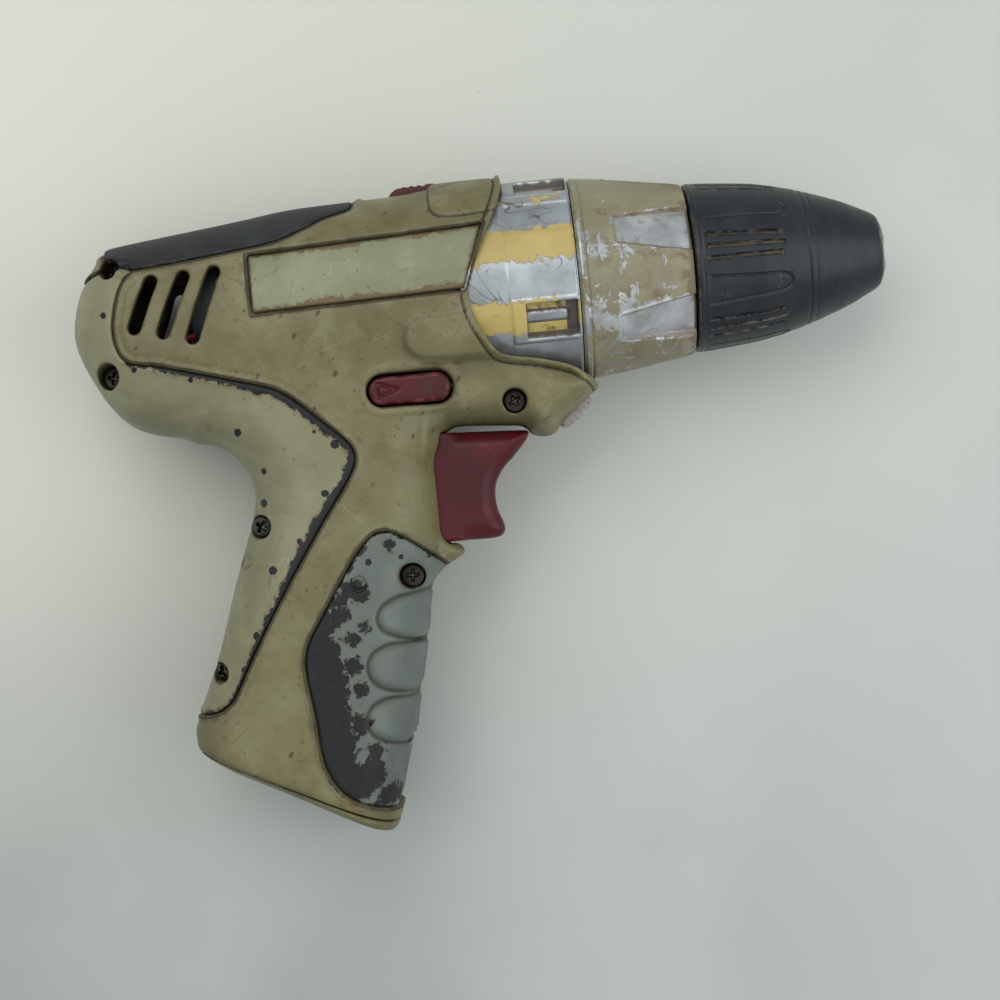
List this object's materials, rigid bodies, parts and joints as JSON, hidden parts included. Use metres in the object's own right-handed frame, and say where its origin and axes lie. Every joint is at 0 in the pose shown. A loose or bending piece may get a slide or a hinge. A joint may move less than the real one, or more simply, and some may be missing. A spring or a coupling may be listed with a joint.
{
  "type": "cordless drill",
  "caption": "Pistol-grip cordless drill with a keyless chuck, torque ring, two-speed planetary gearbox, trigger and stick battery.",
  "frame": {"origin": "on the chuck axis at the chuck's front face", "axes": "+X forward out of the chuck along its axis, +Y up away from the handle, +Z to the drill's right side; the drill lies on its left side"},
  "size_m": [0.192, 0.1507, 0.05],
  "materials": {
    "olive_shell": "scuffed satin moulded plastic",
    "hump_shell": "scuffed satin moulded plastic",
    "grey_grip": "worn grey-green paint",
    "rubber_black": "soft rubber",
    "label_plate": "plain recessed panel",
    "wine_plastic": "polished by use",
    "gear_nose": "yellow plastic with worn silver foil",
    "ring_paint": "worn silver-beige paint",
    "sleeve_black": "fine turned lines",
    "steel": "machined",
    "zinc": "rolled sheet",
    "magnet": "ferrite",
    "bronze": "sintered",
    "copper": "windings and laminations",
    "inner_plastic": "moulded",
    "clear_lens": "clear moulded",
    "led_body": "clear epoxy",
    "cell_wrap": "shrink wrap",
    "wire_skin": "pvc"
  },
  "bodies": {
    "body": {"right_housing": "olive_shell", "left_housing": "olive_shell", "rear_grip_right": "hump_shell", "rear_grip_left": "hump_shell", "front_grip_right": "grey_grip", "front_grip_left": "grey_grip", "top_pad_right": "rubber_black", "top_pad_left": "rubber_black", "label_right": "label_plate", "label_left": "label_plate", "housing_screws": "zinc", "gear_case": "gear_nose", "ring_gear": "steel", "clutch_pins": "steel", "clutch_washer": "steel", "clutch_spring": "steel", "ring_clip": "steel", "spindle_bearing": "bronze", "motor_plate": "zinc", "motor_can": "zinc", "motor_magnets": "magnet", "motor_end_cap": "inner_plastic", "motor_bearings": "bronze", "motor_brushes": "copper", "trigger_spring": "steel", "switch_body": "inner_plastic", "work_light": "led_body", "light_lens": "clear_lens", "wires": "wire_skin", "battery_contacts": "bronze"},
    "speed_selector": {"gear_selector": "wine_plastic", "shift_fork": "steel", "shift_ring": "steel"},
    "torque_ring": {"torque_ring": "ring_paint"},
    "clutch_nut": {"clutch_nut": "inner_plastic"},
    "rotor": {"armature": "copper", "cooling_fan": "inner_plastic", "motor_pinion": "bronze"},
    "stage_carrier": {"stage_carrier": "steel"},
    "planet_1a": {"planet_1a": "inner_plastic"},
    "planet_1b": {"planet_1b": "inner_plastic"},
    "planet_1c": {"planet_1c": "inner_plastic"},
    "spindle": {"spindle": "steel", "chuck_body": "steel", "chuck_screw": "zinc"},
    "planet_2a": {"planet_2a": "steel"},
    "planet_2b": {"planet_2b": "steel"},
    "planet_2c": {"planet_2c": "steel"},
    "chuck_sleeve": {"chuck_sleeve": "sleeve_black", "chuck_nut": "steel"},
    "jaw_1": {"jaw_1": "steel"},
    "jaw_2": {"jaw_2": "steel"},
    "jaw_3": {"jaw_3": "steel"},
    "direction_button": {"direction_button": "wine_plastic"},
    "trigger": {"trigger": "wine_plastic"},
    "battery": {"battery_case": "olive_shell", "battery_cells": "cell_wrap", "battery_straps": "zinc"},
    "release_button": {"release_button": "inner_plastic"}
  },
  "joints": [
    {"name": "spindle_spin", "type": "hinge", "parent": "body", "child": "spindle", "pos_m": [0, 0, 0], "axis": [1, 0, 0], "continuous": true},
    {"name": "carrier_spin", "type": "hinge", "parent": "body", "child": "stage_carrier", "pos_m": [-0.088, 0, 0], "axis": [1, 0, 0], "continuous": true},
    {"name": "rotor_spin", "type": "hinge", "parent": "body", "child": "rotor", "pos_m": [-0.13, 0, 0], "axis": [1, 0, 0], "continuous": true},
    {"name": "planet_2a_spin", "type": "hinge", "parent": "spindle", "child": "planet_2a", "pos_m": [-0.083, 0, -0.00945], "axis": [1, 0, 0], "continuous": true},
    {"name": "planet_2b_spin", "type": "hinge", "parent": "spindle", "child": "planet_2b", "pos_m": [-0.083, 0.00818, 0.00473], "axis": [1, 0, 0], "continuous": true},
    {"name": "planet_2c_spin", "type": "hinge", "parent": "spindle", "child": "planet_2c", "pos_m": [-0.083, -0.00818, 0.00473], "axis": [1, 0, 0], "continuous": true},
    {"name": "planet_1a_spin", "type": "hinge", "parent": "stage_carrier", "child": "planet_1a", "pos_m": [-0.093, 0, -0.00945], "axis": [1, 0, 0], "continuous": true},
    {"name": "planet_1b_spin", "type": "hinge", "parent": "stage_carrier", "child": "planet_1b", "pos_m": [-0.093, 0.00818, 0.00473], "axis": [1, 0, 0], "continuous": true},
    {"name": "planet_1c_spin", "type": "hinge", "parent": "stage_carrier", "child": "planet_1c", "pos_m": [-0.093, -0.00818, 0.00473], "axis": [1, 0, 0], "continuous": true},
    {"name": "chuck_sleeve_turn", "type": "hinge", "parent": "spindle", "child": "chuck_sleeve", "pos_m": [-0.03, 0, 0], "axis": [1, 0, 0], "range_deg": [0, 1800]},
    {"name": "jaw_1_slide", "type": "slide", "parent": "spindle", "child": "jaw_1", "axis": [0.9659, 0, -0.2588], "range_m": [0, 0.0186]},
    {"name": "jaw_2_slide", "type": "slide", "parent": "spindle", "child": "jaw_2", "axis": [0.9659, 0.2241, 0.1294], "range_m": [0, 0.0186]},
    {"name": "jaw_3_slide", "type": "slide", "parent": "spindle", "child": "jaw_3", "axis": [0.9659, -0.2241, 0.1294], "range_m": [0, 0.0186]},
    {"name": "torque_ring_turn", "type": "hinge", "parent": "body", "child": "torque_ring", "pos_m": [-0.06, 0, 0], "axis": [1, 0, 0], "range_deg": [0, 285]},
    {"name": "clutch_nut_feed", "type": "slide", "parent": "torque_ring", "child": "clutch_nut", "axis": [-1, 0, 0], "range_m": [0, 0.0061], "deforming": ["clutch_spring"]},
    {"name": "speed_select", "type": "slide", "parent": "body", "child": "speed_selector", "axis": [-1, 0, 0], "range_m": [0, 0.005]},
    {"name": "direction_select", "type": "slide", "parent": "body", "child": "direction_button", "axis": [0, 0, 1], "range_m": [-0.002, 0.002]},
    {"name": "trigger_pull", "type": "slide", "parent": "body", "child": "trigger", "axis": [-1, 0, 0], "range_m": [0, 0.0065], "stiffness_N_per_m": 400, "springref_m": -0.004, "deforming": ["trigger_spring"]},
    {"name": "battery_slide", "type": "slide", "parent": "body", "child": "battery", "axis": [-0.28, -0.96, 0], "range_m": [0, 0.06]},
    {"name": "release_press", "type": "slide", "parent": "body", "child": "release_button", "axis": [-0.9723, 0.2336, 0], "range_m": [0, 0.0012], "stiffness_N_per_m": 600, "springref_m": -0.002}
  ],
  "couplings": [
    {"joint": "carrier_spin", "follows": "spindle_spin", "ratio": 4.5},
    {"joint": "rotor_spin", "follows": "spindle_spin", "ratio": 20.25},
    {"joint": "planet_2a_spin", "follows": "spindle_spin", "ratio": -2.8},
    {"joint": "planet_2b_spin", "follows": "spindle_spin", "ratio": -2.8},
    {"joint": "planet_2c_spin", "follows": "spindle_spin", "ratio": -2.8},
    {"joint": "planet_1a_spin", "follows": "spindle_spin", "ratio": -12.6},
    {"joint": "planet_1b_spin", "follows": "spindle_spin", "ratio": -12.6},
    {"joint": "planet_1c_spin", "follows": "spindle_spin", "ratio": -12.6},
    {"joint": "jaw_1_slide", "follows": "chuck_sleeve_turn", "m_per_rad": 0.00058887},
    {"joint": "jaw_2_slide", "follows": "chuck_sleeve_turn", "m_per_rad": 0.00058887},
    {"joint": "jaw_3_slide", "follows": "chuck_sleeve_turn", "m_per_rad": 0.00058887},
    {"joint": "clutch_nut_feed", "follows": "torque_ring_turn", "m_per_rad": 0.0012062}
  ]
}
